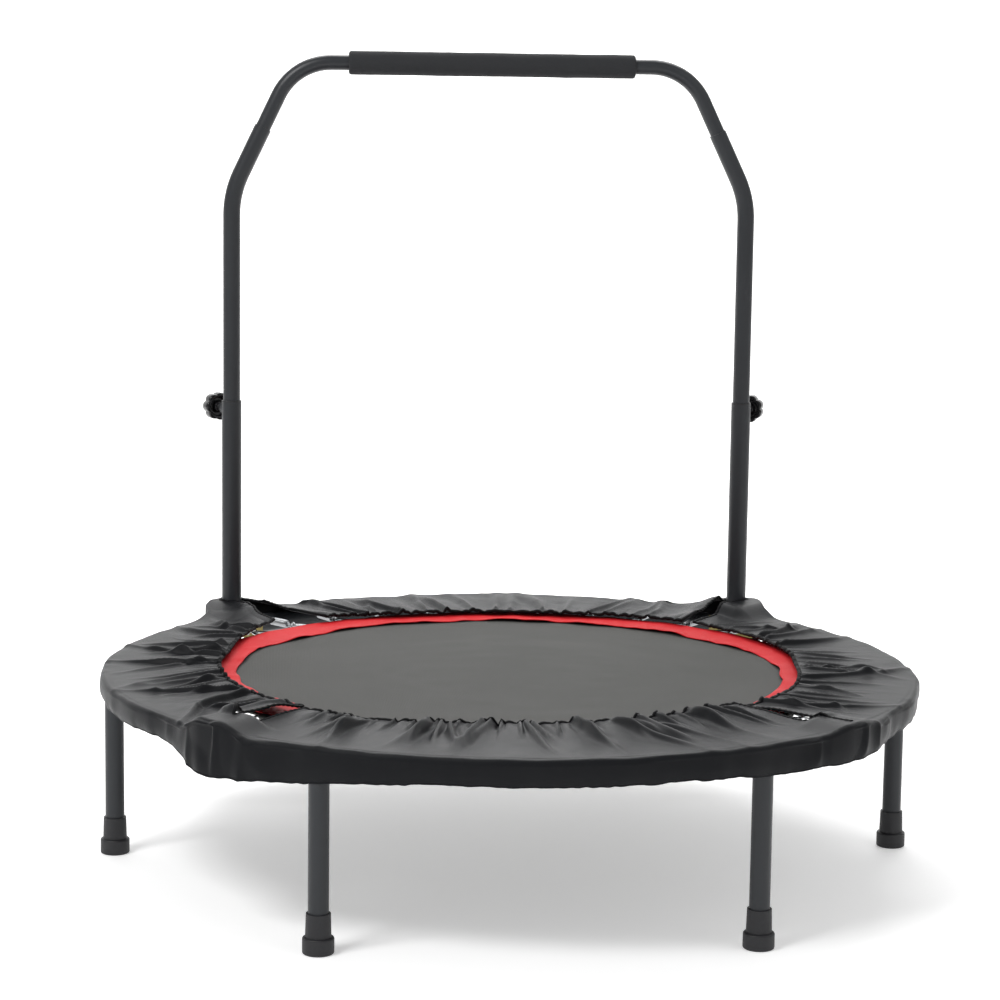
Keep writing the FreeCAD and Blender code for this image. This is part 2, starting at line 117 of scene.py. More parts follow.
def noise(angle, across, cells, seed):
    """Smooth noise in -1..1, periodic in the angle, with that many cells round the turn."""
    rng = np.random.default_rng(seed)
    rows = 64
    table = rng.uniform(-1.0, 1.0, (rows, cells))
    u = np.asarray(angle) / 360.0 * cells
    v = np.asarray(across) + 16.0
    u, v = np.broadcast_arrays(u, v)
    iu = np.floor(u).astype(int)
    iv = np.floor(v).astype(int)
    fu = smooth(u - iu)
    fv = smooth(v - iv)
    a = table[iv % rows, iu % cells]
    b = table[iv % rows, (iu + 1) % cells]
    c = table[(iv + 1) % rows, iu % cells]
    d = table[(iv + 1) % rows, (iu + 1) % cells]
    return (a * (1 - fu) + b * fu) * (1 - fv) + (c * (1 - fu) + d * fu) * fv


def ridges(angle, across, cells, seed, power=2.5):
    """Crisp folds in 0..1 that run across the angle."""
    return (1.0 - np.abs(noise(angle, across, cells, seed))) ** power


# ---------------------------------------------------------------- meshes


def mesh_object(name, points, faces, uv=None):
    """Smooth-shaded mesh object from arrays; uv holds one pair per vertex, in metres."""
    mesh = bpy.data.meshes.new(name)
    mesh.from_pydata([tuple(p) for p in np.asarray(points).tolist()], [], [tuple(f) for f in faces])
    mesh.update()
    mesh.shade_smooth()
    if uv is not None:
        layer = mesh.uv_layers.new(name="UVMap")
        loops = np.empty(len(mesh.loops), int)
        mesh.loops.foreach_get("vertex_index", loops)
        layer.data.foreach_set("uv", np.asarray(uv, np.float32)[loops].ravel())
    piece = bpy.data.objects.new(name, mesh)
    bpy.context.scene.collection.objects.link(piece)
    return piece


def grid_faces(rows, columns, close_rows=False, close_columns=False, start=0):
    """Quads of a grid whose vertex number is start + row * columns + column."""
    last_row = rows if close_rows else rows - 1
    last_column = columns if close_columns else columns - 1
    faces = []
    for r in range(last_row):
        r2 = (r + 1) % rows
        for c in range(last_column):
            c2 = (c + 1) % columns
            faces.append((start + r * columns + c, start + r * columns + c2,
                          start + r2 * columns + c2, start + r2 * columns + c))
    return faces


def end_caps(rings, sides):
    """The two end faces of a tube made of rings of points."""
    first = tuple(range(sides))[::-1]
    last = tuple((rings - 1) * sides + i for i in range(sides))
    return [first, last]


def swept_tube(path, wide, high, sides, closed=False):
    """Points and faces of a tube along a path, with an oval section that stays upright."""
    path = np.asarray(path, float)
    ahead = np.roll(path, -1, 0) - np.roll(path, 1, 0)
    if not closed:
        ahead[0] = path[1] - path[0]
        ahead[-1] = path[-1] - path[-2]
    ahead /= np.linalg.norm(ahead, axis=1)[:, None]
    side = np.cross(ahead, [0.0, 0.0, 1.0])
    upright = np.linalg.norm(side, axis=1) < 1e-6
    side[upright] = [1.0, 0.0, 0.0]
    side /= np.linalg.norm(side, axis=1)[:, None]
    up = np.cross(side, ahead)
    turn = np.linspace(0, 2 * math.pi, sides, endpoint=False)
    ring = (side[:, None, :] * np.cos(turn)[None, :, None] * np.asarray(wide).reshape(-1, 1, 1)
            + up[:, None, :] * np.sin(turn)[None, :, None] * np.asarray(high).reshape(-1, 1, 1))
    points = (path[:, None, :] + ring).reshape(-1, 3)
    faces = grid_faces(len(path), sides, close_rows=closed, close_columns=True)
    if not closed:
        faces += end_caps(len(path), sides)
    return points, faces


def swept_round(path, radius, sides):
    """Tube along a path with a section that doesn't twist."""
    path = np.asarray(path, float)
    ahead = np.gradient(path, axis=0)
    ahead /= np.linalg.norm(ahead, axis=1)[:, None]
    side = np.cross(ahead[0], [0.0, 1.0, 0.0])
    if np.linalg.norm(side) < 0.1:
        side = np.cross(ahead[0], [0.0, 0.0, 1.0])
    side /= np.linalg.norm(side)
    turn = np.linspace(0, 2 * math.pi, sides, endpoint=False)
    points = []
    for p, way in zip(path, ahead):
        side = side - way * float(side @ way)
        side /= np.linalg.norm(side)
        up = np.cross(way, side)
        points.append(p + radius * (np.cos(turn)[:, None] * side + np.sin(turn)[:, None] * up))
    faces = grid_faces(len(path), sides, close_columns=True) + end_caps(len(path), sides)
    return np.concatenate(points), faces


def ring_sheet(top, low):
    """Points and faces of a ring of cloth from the grids of its two sides, closed at the outer edge."""
    rows, columns = top.shape[:2]
    under = rows * columns
    outer = under - columns
    points = np.concatenate([top.reshape(-1, 3), low.reshape(-1, 3)])
    faces = [f[::-1] for f in grid_faces(rows, columns, close_columns=True)]
    faces += grid_faces(rows, columns, close_columns=True, start=under)
    for i in range(columns):
        j = (i + 1) % columns
        faces.append((outer + i, under + outer + i, under + outer + j, outer + j))
    return points, faces


def joined(parts):
    """One set of points and faces from several."""
    points = []
    faces = []
    count = 0
    for p, f in parts:
        points.append(np.asarray(p, float))
        faces.extend(tuple(i + count for i in face) for face in f)
        count += len(p)
    return np.concatenate(points), faces


def turned(points, angle):
    """Points turned about the vertical centre line by an angle in degrees."""
    c = math.cos(math.radians(angle))
    s = math.sin(math.radians(angle))
    points = np.asarray(points, float)
    return points @ np.array([[c, s, 0.0], [-s, c, 0.0], [0.0, 0.0, 1.0]])


def polar(radius, angle, z):
    """Points from radius, angle in degrees and height arrays."""
    a = np.radians(angle)
    x, y, z = np.broadcast_arrays(radius * np.cos(a), radius * np.sin(a), z)
    return np.stack([x, y, z], -1)


def bend_over_fold(piece):
    """Bakes the piece's placement into its mesh; the cloth is not bent at the fold line."""
    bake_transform(piece)


# ---------------------------------------------------------------- materials

# Bands in a metre of a wave of scale 1.
WAVES_PER_METRE = 3.18


class Nodes:
    """Short way to build a node material."""

    def __init__(self, name, color, roughness, metallic=0.0):
        self.material = bpy.data.materials.new(name)
        self.material.use_nodes = True
        self.tree = self.material.node_tree
        self.shader = self.tree.nodes["Principled BSDF"]
        self.set("Base Color", (*color, 1.0))
        self.set("Roughness", roughness)
        self.set("Metallic", metallic)

    def set(self, socket, value):
        """Plain value on the shader's own socket."""
        self.shader.inputs[socket].default_value = value

    def add(self, kind, **values):
        """New node with the given properties and socket values."""
        node = self.tree.nodes.new("ShaderNode" + kind)
        for key, value in values.items():
            if hasattr(node, key):
                setattr(node, key, value)
            else:
                node.inputs[key.replace("_", " ")].default_value = value
        return node

    def link(self, source, output, target, socket):
        """Wire from one node's output to another node's socket."""
        self.tree.links.new(source.outputs[output], target.inputs[socket])

    def texture(self, kind, space="Object", stretch=(1.0, 1.0, 1.0), **values):
        """Texture laid over the piece in its own space or along its UV map."""
        mapping = self.add("Mapping", Scale=stretch)
        self.link(self.add("TexCoord"), space, mapping, "Vector")
        node = self.add(kind, **values)
        self.link(mapping, "Vector", node, "Vector")
        return node

    def color_from(self, source, low, high):
        """Base colour between two tones, by a texture."""
        mix = self.add("Mix", data_type="RGBA")
        mix.inputs["A"].default_value = (*low, 1.0)
        mix.inputs["B"].default_value = (*high, 1.0)
        self.link(source, "Fac", mix, "Factor")
        self.link(mix, "Result", self.shader, "Base Color")

    def roughness_from(self, source, low, high):
        """Roughness between two values, by a texture."""
        span = self.add("MapRange", To_Min=low, To_Max=high)
        self.link(source, "Fac", span, "Value")
        self.link(span, "Result", self.shader, "Roughness")

    def bump(self, source, output, strength, distance, before=None):
        """Relief from a texture, on top of an earlier relief if there is one."""
        node = self.add("Bump", Strength=strength, Distance=distance)
        self.link(source, output, node, "Height")
        if before is not None:
            self.link(before, "Normal", node, "Normal")
        self.link(node, "Normal", self.shader, "Normal")
        return node


def srgb(r, g, b):
    """Linear colour from 8-bit display values."""
    return tuple((v / 255 / 12.92) if v / 255 <= 0.04045 else ((v / 255 + 0.055) / 1.055) ** 2.4
                 for v in (r, g, b))


def weave(nodes, period):
    """Height of a plain weave with that thread spacing, in metres."""
    both = nodes.add("Math", operation="MAXIMUM")
    for socket, axis in enumerate(("X", "Y")):
        wave = nodes.texture("TexWave", "UV", wave_type="BANDS", bands_direction=axis,
                             Scale=1.0 / period / WAVES_PER_METRE, Distortion=0.0)
        nodes.link(wave, "Fac", both, socket)
    return both


def cloth_material(name, low, high, roughness, period, depth):
    """Woven cloth: thread relief, a fine fuzz and a faint cloudy tone."""
    nodes = Nodes(name, high, roughness)
    nodes.color_from(nodes.texture("TexNoise", Scale=7.0, Detail=5.0), low, high)
    threads = nodes.bump(weave(nodes, period), "Value", 0.35, depth)
    nodes.bump(nodes.texture("TexNoise", Scale=420.0, Detail=3.0), "Fac", 0.12, 0.0006, threads)
    nodes.set("Specular IOR Level", 0.10)
    return nodes.material


def powder_coat(name, color, roughness):
    """Satin powder coat with a fine orange-peel surface and small rubbed patches."""
    nodes = Nodes(name, color, roughness)
    nodes.set("Specular IOR Level", 0.36)
    nodes.bump(nodes.texture("TexNoise", Scale=900.0, Detail=2.0), "Fac", 0.18, 0.0004)
    wear = nodes.texture("TexNoise", Scale=14.0, Detail=6.0)
    nodes.roughness_from(wear, roughness - 0.08, roughness + 0.10)
    nodes.color_from(wear, color, tuple(1.25 * c for c in color))
    return nodes.material


def plated(name, low, high, roughness):
    """Zinc-plated steel with cloudy tone and fine brushed marks."""
    nodes = Nodes(name, high, roughness, 1.0)
    cloud = nodes.texture("TexNoise", Scale=60.0, Detail=5.0)
    nodes.color_from(cloud, low, high)
    nodes.roughness_from(cloud, roughness - 0.07, roughness + 0.12)
    nodes.bump(nodes.texture("TexNoise", stretch=(1.0, 1.0, 6.0), Scale=600.0), "Fac", 0.1, 0.0003)
    return nodes.material


def moulded(name, color, roughness, grain=500.0, depth=0.0004, strength=0.2):
    """Moulded rubber or plastic with a fine grain."""
    nodes = Nodes(name, color, roughness)
    skin = nodes.texture("TexNoise", Scale=grain, Detail=3.0)
    nodes.bump(skin, "Fac", strength, depth)
    nodes.roughness_from(skin, roughness - 0.06, roughness + 0.08)
    return nodes.material


def foam_material():
    """Closed-cell foam: small pores and a dry surface."""
    nodes = Nodes("grip_foam", srgb(46, 47, 49), 0.85)
    pores = nodes.bump(nodes.texture("TexVoronoi", Scale=700.0), "Distance", 0.5, 0.0006)
    nodes.bump(nodes.texture("TexNoise", Scale=90.0, Detail=6.0), "Fac", 0.25, 0.0012, pores)
    nodes.set("Specular IOR Level", 0.25)
    return nodes.material


MATERIALS = {
    "frame_paint": powder_coat("frame_paint", srgb(39, 41, 44), 0.38),
    "rail_paint": powder_coat("rail_paint", srgb(40, 42, 45), 0.36),
    "foot_rubber": moulded("foot_rubber", srgb(30, 30, 33), 0.55),
    # The plates' own yellow zinc tone, darkened as painted shade for the hinge plates that sit under the
    # cover.
    "yellow_zinc": plated("yellow_zinc", srgb(104, 92, 52), srgb(160, 146, 96), 0.34),
    "bright_zinc": plated("bright_zinc", srgb(170, 172, 175), srgb(214, 216, 218), 0.26),
    "spring_wire": plated("spring_wire", srgb(160, 162, 165), srgb(206, 208, 210), 0.28),
    "ring_wire": plated("ring_wire", srgb(160, 162, 165), srgb(206, 208, 210), 0.28),
    "mat_fabric": cloth_material("mat_fabric", srgb(66, 66, 64), srgb(76, 76, 74), 0.66, 0.0019, 0.0005),
    "band_fabric": cloth_material("band_fabric", srgb(184, 27, 33), srgb(206, 37, 43), 0.6, 0.0014, 0.0004),
    "cover_fabric": cloth_material("cover_fabric", srgb(18, 19, 22), srgb(28, 29, 31), 0.42, 0.0009, 0.0002),
    "edge_tape": cloth_material("edge_tape", srgb(9, 9, 11), srgb(15, 15, 17), 0.62, 0.0009, 0.0003),
    "knob_plastic": moulded("knob_plastic", srgb(20, 20, 22), 0.22, 120.0, 0.0003, 0.1),
    "liner_plastic": moulded("liner_plastic", srgb(30, 30, 32), 0.45),
    "grip_foam": foam_material(),
}


def finish_piece(piece, slot, look=None):
    """Material of a modelled piece: the material of its slot, or a look of its own that stands in for it."""
    piece.data.materials.clear()
    piece.data.materials.append(MATERIALS[look or slot])


def paint_frame():
    """Every CAD node takes the material of its slot in the record."""
    for entry in frame["record"]["subparts"]:
        piece = frame["nodes"][entry["node"]]
        for slot in piece.material_slots:
            slot.material = MATERIALS[entry["material_slot"]]


# ---------------------------------------------------------------- jumping mat


def mat_piece():
    """Woven mat in one piece over both halves, with a doubled and stitched rim."""
    rings = np.concatenate([np.linspace(0.002, 0.34, 60), np.linspace(0.344, MAT_R, 26)])
    columns = 720
    r, a = np.meshgrid(rings, np.linspace(0, 360, columns, endpoint=False), indexing="ij")
    thick = MAT_HALF + 0.0003 * smooth((r - 0.372) / 0.003)
    wave = 0.0005 * noise(a, r * 18.0, 10, 3) + 0.0004 * noise(a, r * 40.0, 24, 4)
    wave = wave * smooth((MAT_R - r) / 0.05) * smooth(r / 0.15) - MAT_SAG * (1 - (r / MAT_R) ** 2)
    stitch = 0.00025 * np.cos(np.radians(a) * 360) * (bump(r - 0.376, 0.0012) + bump(r - 0.391, 0.0012))
    points, faces = ring_sheet(polar(r, a, BED_Z + thick + wave - stitch), polar(r, a, BED_Z - thick + wave))
    centre = len(points)
    under = centre // 2
    for i in range(columns):
        j = (i + 1) % columns
        faces.append((i, j, centre))
        faces.append((under + j, under + i, centre + 1))
    middle = [[0.0, 0.0, BED_Z + MAT_HALF - MAT_SAG], [0.0, 0.0, BED_Z - MAT_HALF - MAT_SAG]]
    points = np.concatenate([points, middle])
    piece = mesh_object("jumping_mat", points, faces, points[:, :2])
    finish_piece(piece, "mat_fabric")
    return piece


def mat_loops(angles, name):
    """Webbing loops sewn under the mat's rim, each round the base of a V-ring."""
    parts = []
    turn = np.linspace(-0.5 * math.pi, 0.5 * math.pi, 9)
    over = [(0.374, 0.00145), (0.386, 0.0015), (0.394, 0.0022)]
    arc = [(0.400 + 0.0027 * math.cos(t), 0.0027 * math.sin(t)) for t in turn[::-1]]
    under = [(0.394, -0.0022), (0.386, -0.0015), (0.374, -0.00145)]
    line = np.array(over + arc + under)
    for angle in angles:
        section = []
        for shift in (-0.0087, -0.0045, 0.0, 0.0045, 0.0087):
            section.append(np.stack([line[:, 0], np.full(len(line), shift), BED_Z + line[:, 1]], -1))
        outer = np.array(section)
        away = np.gradient(line, axis=0)
        away = np.stack([away[:, 1], -away[:, 0]], -1)
        away /= np.linalg.norm(away, axis=1)[:, None]
        inner = outer.copy()
        inner[:, :, 0] += away[None, :, 0] * 0.0006
        inner[:, :, 2] += away[None, :, 1] * 0.0006
        k, n = outer.shape[:2]
        points = np.concatenate([outer.reshape(-1, 3), inner.reshape(-1, 3)])
        faces = grid_faces(k, n) + [f[::-1] for f in grid_faces(k, n, start=k * n)]
        for r in range(k - 1):
            for c in (0, n - 1):
                quad = (r * n + c, (r + 1) * n + c, k * n + (r + 1) * n + c, k * n + r * n + c)
                faces.append(quad if c else quad[::-1])
        for c in range(n - 1):
            for r in (0, k - 1):
                quad = (r * n + c, r * n + c + 1, k * n + r * n + c + 1, k * n + r * n + c)
                faces.append(quad[::-1] if r else quad)
        parts.append((turned(points, angle), faces))
    points, faces = joined(parts)
    piece = mesh_object(name, points, faces, points[:, :2])
    finish_piece(piece, "mat_fabric")
    return piece


# ---------------------------------------------------------------- red edge band


def band_piece():
    """Red band laid round the mat's edge, a little wavy along its free inner edge."""
    columns = 1440
    s, a = np.meshgrid(np.linspace(0, 1, 17), np.linspace(0, 360, columns, endpoint=False), indexing="ij")
    inner = BAND_IN + 0.0030 * noise(a, 0.0, 54, 11) + 0.0022 * noise(a, 3.0, 23, 12)
    r = inner + (BAND_OUT - inner) * s
    lift = (1 - s) ** 2 * (0.0016 + 0.0016 * noise(a, 0.0, 54, 13) + 0.0006 * noise(a, 5.0, 150, 14))
    fold = 0.0007 * noise(a, s * 2.0, 90, 15)
    z = BAND_Z + 0.0004 + lift + fold - 0.0016 * (1 - s)
    points, faces = ring_sheet(polar(r, a, z + CLOTH_T), polar(r, a, z))
    under = len(points) // 2
    for i in range(columns):
        j = (i + 1) % columns
        faces.append((i, j, under + j, under + i))
    uv = np.stack([np.radians(a) * BAND_MIDDLE, r], -1).reshape(-1, 2)
    piece = mesh_object("edge_band", points, faces, np.concatenate([uv, uv]))
    finish_piece(piece, "band_fabric")
    return piece


# ---------------------------------------------------------------- springs


def spring_angles(start):
    """Angles of the springs on the quarter that begins at an angle."""
    return [start + 10.0 * (i + 0.5) for i in range(9)]


def coil_spring(rng):
    """One tension spring along +X at the bed's height: close coils, cone ends and two hooks."""
    t = np.linspace(0, 1, COIL_TURNS * 14 + 1)
    x = SPRING_IN + 0.001 + (SPRING_OUT - SPRING_IN - 0.002) * t
    ends = np.minimum(t, 1 - t) * COIL_TURNS
    radius = COIL_R * smooth(0.35 + ends / 1.6)
    a = 2 * math.pi * COIL_TURNS * t + rng.uniform(0, 2 * math.pi)
    helix = np.stack([x, radius * np.cos(a), BED_Z + radius * np.sin(a)], -1)
    first = helix[0]
    last = helix[-1]
    hook = []
    for angle in np.linspace(200, 0, 18):
        b = math.radians(angle)
        hook.append((RING_TOP + HOOK_R * math.cos(b), 0.0, BED_Z + HOOK_R * math.sin(b)))
    hook += [(0.4245, 0.0, BED_Z + 0.0003), (0.4270, first[1] * 0.5, BED_Z + (first[2] - BED_Z) * 0.5)]
    tail = [(0.4672, last[1] * 0.5, BED_Z + (last[2] - BED_Z) * 0.5), (0.4695, 0.0, BED_Z),
            (0.4780, 0.0, BED_Z), (0.4860, 0.0, BED_Z - 0.0002), (0.4878, 0.0, BED_Z - 0.0014),
            (0.4882, 0.0, BED_Z - 0.0045)]
    return swept_round(np.concatenate([hook, helix, tail]), WIRE_R, 6)


def spring_set(name, starts, seed):
    """All springs of one half."""
    rng = np.random.default_rng(seed)
    parts = []
    for start in starts:
        for angle in spring_angles(start):
            points, faces = coil_spring(rng)
            parts.append((turned(points, angle), faces))
    points, faces = joined(parts)
    piece = mesh_object(name, points, faces)
    finish_piece(piece, "spring_wire")
    return piece


# ---------------------------------------------------------------- spring cover

COLUMNS = 420
SLOPE_ROWS = 72
ROUND_ROWS = 9
SKIRT_ROWS = 16
SLOPE = 0
ROUND = 1
SKIRT = 2
BEYOND_SLITS = 0.56
POST_GAP = (POST_ANGLES[0] - 45.0, POST_ANGLES[1] - 135.0)


def round_post(gap, side):
    """Lip marks that follow one side of the round hole at a post."""
    marks = []
    for step in (-0.008, -0.004, 0.0, 0.004, 0.008, 0.012, 0.015, 0.0157):
        half = math.degrees(math.sqrt(POST_HOLE ** 2 - step ** 2) / (POST_RADIUS + step))
        marks.append((POST_RADIUS + step, gap + side * half))
    return marks + [(POST_RADIUS + 0.0162, gap)]


# Each slit's two lips: at a radius, how far the lip stands from the hinge line, in degrees.
LIPS = {
    45.0: {"before": [(0.38, 0.9), (0.44, 1.0), (0.48, 1.6), (0.505, 2.2)] + round_post(POST_GAP[0], -1),
           "after": [(0.38, 3.0), (0.44, 3.2), (0.48, 4.2), (0.505, 4.6)] + round_post(POST_GAP[0], 1)},
    135.0: {"before": [(0.39, -9.6), (0.41, -8.9), (0.44, -7.0), (0.48, -5.8), (0.515, -5.0)]
            + round_post(POST_GAP[1], -1),
            "after": [(0.42, 0.6), (0.445, 0.0), (0.47, -1.6), (0.50, -2.6), (0.515, -2.5)]
            + round_post(POST_GAP[1], 1)},
    225.0: {"before": [(0.36, -1.3), (0.40, -1.3), (0.43, -1.8), (0.450, -2.2), (0.464, -1.6), (0.476, -0.4),
                       (0.484, 0.0)],
            "after": [(0.36, -0.7), (0.40, -0.5), (0.45, -0.2), (0.470, 0.0), (0.484, 0.0)]},
    315.0: {"before": [(0.36, -0.2), (0.39, -0.3), (0.42, -1.0), (0.440, -1.4), (0.456, -0.9), (0.468, 0.0)],
            "after": [(0.36, 0.1), (0.39, 0.3), (0.42, 0.5), (0.445, 0.4), (0.468, 0.0)]},
}

# Each lip's rise: its height, where it starts and ends along the radius, and its half width in degrees.
LIP_RISES = {
    45.0: {"before": (0.003, 0.40, 0.50, 5.0), "after": (0.0085, 0.39, 0.518, 7.0)},
    135.0: {"before": (0.005, 0.38, 0.50, 9.0), "after": (0.004, 0.41, 0.50, 6.0)},
    225.0: {"before": (0.0100, 0.37, 0.485, 8.0), "after": (0.0006, 0.37, 0.485, 4.0)},
    315.0: {"before": (0.0010, 0.37, 0.480, 4.0), "after": (0.0050, 0.37, 0.480, 6.0)},
}

# Rows of pinched folds: region, first and last spot in degrees, how many, the spots' seed, the shifts
# of a fold and its twin, then the folds' seed, height, width and drift in degrees, and reach.
ALONE = (0.0,)
TWINS = (-0.6, 0.8)
FOLDS = (
    ("left", 140.0, 222.0, 11, 71, ALONE, 72, 0.0078, 0.75, 9.0, 1.3),
    ("left", 140.0, 222.0, 15, 73, ALONE, 74, 0.0046, 0.45, 7.0, 1.0),
    ("right", -42.0, 41.0, 11, 75, ALONE, 76, 0.0078, 0.80, 10.0, 1.3),
    ("right", -42.0, 41.0, 15, 77, ALONE, 78, 0.0042, 0.45, 8.0, 1.0),
    ("front", 230.0, 311.0, 11, 79, TWINS, 80, 0.0098, 0.85, 5.5, 1.05),
    ("front", 229.0, 312.0, 20, 81, ALONE, 82, 0.0052, 0.45, 2.5, 0.45),
    ("back", 52.0, 125.0, 15, 83, ALONE, 84, 0.0062, 0.9, 4.0, 1.25),
)


def lip(hinge, which, radius):
    """Turn of a slit's lip from the hinge line at a radius, in degrees."""
    marks = LIPS[hinge][which]
    return np.interp(radius, [m[0] for m in marks], [m[1] for m in marks])


def hem_radius(angle):
    """Radius of the cover's inner hem: tight at the sides, slack towards the back hinges."""
    a = np.asarray(angle) % 360.0
    left = 0.046 * np.clip((168.0 - a) / 31.0, 0.0, 1.2) ** 1.25 * (a > 134.9)
    b = signed(a)
    right = 0.027 * np.clip((b + 4.0) / 40.0, 0.0, 1.0) ** 1.2 * (np.abs(b) < 45.1)
    right = right + 0.008 * smooth((b - 39.0) / 5.0) * (np.abs(b) < 45.1)
    mid = np.where((a >= 45.0) & (a <= 135.0), 1.0, 0.0)
    back = mid * (0.010 + 0.018 * smooth((np.abs(a - 90.0) - 12.0) / 28.0))
    front = np.where((a > 225.0) & (a < 315.0), 1.0, 0.0)
    tight = -0.017 * front * smooth((a - 236.0) / 32.0)
    wave = 0.0016 * noise(a, 2.0, 46, 22) + 0.0012 * noise(a, 0.0, 16, 21)
    return HEM_R + left + right + back + tight + wave


def tent_share(angle):
    """1 at a handrail post and 0 away from it."""
    total = 0.0
    for post in POST_ANGLES:
        total = total + smooth((6.6 - np.abs(turn_gap(angle, post))) / 4.7)
    return total


def near_post(angle, half):
    """Wider swell of the cloth that climbs towards a post."""
    total = 0.0
    for post, high in zip(POST_ANGLES, (0.0135, 0.015)):
        total = total + high * bump(turn_gap(angle, post), half)
    return total


def over_hinges(angle, half, flat, values):
    """Sum of flat-topped bumps of the given heights at the four hinges."""
    total = 0.0
    for hinge, value in zip(HINGES, values):
        total = total + value * smooth((half - np.abs(turn_gap(angle, hinge))) / (half - flat))
    return total


def fold_set(angle, s, spots, seed, high, wide, drift, reach):
    """Pinched folds that start at the hem at the given angles and fan outwards."""
    rng = np.random.default_rng(seed)
    total = np.zeros(np.broadcast(angle, s).shape)
    for spot in spots:
        lean = drift * rng.uniform(-1.0, 1.0)
        bow = 0.5 * drift * rng.uniform(-1.0, 1.0)
        size = high * rng.uniform(0.45, 1.0)
        far = reach * rng.uniform(0.6, 1.15)
        near = rng.uniform(0.0, 0.12)
        width = wide * rng.uniform(0.7, 1.4)
        line = spot + lean * s + bow * s * s
        d = turn_gap(angle, line) / (width * (0.55 + 0.9 * s))
        along = smooth((s - near + 0.12) / 0.14) * smooth((far - s) / (0.55 * far))
        total = total + size * along / (1.0 + d * d) ** 1.6
        total = total - 0.38 * size * along * np.exp(-((d - 2.1) / 1.3) ** 2)
    return total


def spread(first, last, count, seed):
    """Evenly spaced spots with some scatter."""
    rng = np.random.default_rng(seed)
    step = (last - first) / count
    return first + step * (np.arange(count) + 0.5 + rng.uniform(-0.38, 0.38, count))


def beads(angle):
    """Beads of the hem's elastic, 0..1."""
    warped = angle + 2.1 * noise(angle, 0.0, 52, 61)
    return np.abs(np.sin(np.radians(warped) * 46.0)) ** 0.62


def gathers(angle, s, front):
    """Beaded gathers of the elastic hem, with puffs and creases behind them that are larger in front."""
    bead = beads(angle)
    small = np.abs(np.sin(np.radians(angle + 0.5 * noise(angle, 1.0, 90, 62)) * 119.0)) ** 0.8
    size = 0.75 + 0.7 * noise(angle, 0.0, 70, 63)
    near = 0.0030 * (bead - 0.6) * np.exp(-s / 0.09) + 0.0012 * (small - 0.6) * np.exp(-s / 0.05)
    lump = smooth(s / 0.10) * np.exp(-np.maximum(s - 0.10, 0.0) / 0.20)
    puff = (0.0020 + 0.0030 * front) * (bead - 0.62 - 0.12 * front)
    return size * (near + puff * lump)


def region_shares(angle):
    """How much each point belongs to the cover's left, right, front and back, 0..1."""
    b = signed(angle)
    return {
        "left": smooth((angle - 137.0) / 4.0) * smooth((224.0 - angle) / 3.0),
        "right": smooth((b + 43.0) / 4.0) * smooth((43.0 - b) / 4.0),
        "front": smooth((angle - 226.0) / 4.0) * smooth((314.0 - angle) / 4.0),
        "back": smooth((angle - 50.0) / 5.0) * smooth((126.0 - angle) / 5.0),
    }


def slope_folds(angle, s):
    """Height of the folds on the sloping part of the cover."""
    share = region_shares(angle)
    out = gathers(angle, s, share["front"])
    for region, first, last, count, spot_seed, twins, seed, high, wide, drift, reach in FOLDS:
        spots = spread(first, last, count, spot_seed)
        spots = np.concatenate([spots + shift for shift in twins])
        out = out + share[region] * fold_set(angle, s, spots, seed, high, wide, drift, reach)
    out = out * (1.0 - 0.5 * (share["left"] + share["right"]) * smooth((s - 0.70) / 0.3))
    body = np.sin(math.pi * np.clip(s, 0, 1)) ** 0.7
    out = out + body * 0.0022 * noise(angle, s * 1.6, 22, 36)
    crease = 0.0034 * (ridges(angle, 0.3 * s, 30, 85, 1.6) - 0.35)
    return out + share["back"] * smooth((s - 0.25) / 0.5) * crease


def skirt_folds(angle, kind, t):
    """Depth of the skirt's pleats and ripples; the pleats gather beside the hinges."""
    near = 0.0
    for hinge, size in zip(HINGES, (0.5, 0.5, 1.0, 0.9)):
        near = near + size * bump(turn_gap(angle, hinge), 15.0)
    pleat = ridges(angle, 0.5 * t, 128, 39, 1.2) - 0.5 + 0.8 * noise(angle, 0.7 * t, 60, 43)
    ripple = 0.0022 * noise(angle, 0.4 * t, 44, 40) + 0.0010 * noise(angle, 0.5 * t, 110, 44)
    edge = np.where(kind == SKIRT, t ** 2, 0.0)
    return 0.0066 * near * pleat + ripple + edge * 0.0011 * noise(angle, 0.0, 190, 42)


def cover_folds(angle, s, kind, t, lean):
    """Height of the cloth's folds along its outward direction."""
    a = angle % 360.0
    on_top = np.cos(lean) ** 2
    crumple = 0.00022 * noise(a, s * 9.0, 240, 37) + 0.00045 * noise(a, s * 4.0, 90, 38)
    out = slope_folds(a, s) * on_top + crumple * (0.45 + 0.55 * on_top)
    return out + np.sin(lean) ** 2 * skirt_folds(a, kind, t)


def turned_aside(angle, hinge, radius):
    """Real angle of the cloth once both slits of a sector have pulled it aside."""
    start, end = hinge, (hinge + 90.0) % 360.0
    first = lip(start, "after", radius) * smooth(1.0 - np.abs(turn_gap(angle, start)) / 24.0)
    last = lip(end, "before", radius) * smooth(1.0 - np.abs(turn_gap(angle, end)) / 24.0)
    return angle + first + last


def skirt_radius(angle):
    """Outer radius of the skirt: plain round, swollen over the hinges and drawn out round the posts."""
    tent = tent_share(angle)
    out = SKIRT_AT + over_hinges(angle, 12.0, 5.2, (0.0062, 0.0062, 0.0062, 0.0062))
    out = out + over_hinges(angle, 7.0, 1.3, (0.0072, 0.0072, 0.0072, 0.0062))
    return out * (1 - tent) + (POST_RADIUS + 0.0202) * tent, tent


def hem_height(angle, inside):
    """Height of the inner hem, a little more at the left and along the front."""
    out = HEM_Z + 0.0008 * noise(angle, 4.0, 40, 23) + 0.0016 * (inside > 135.0) * (inside < 225.0)
    return out + 0.0018 * (inside > 225.0) * (inside < 315.0) * smooth((inside - 236.0) / 24.0)


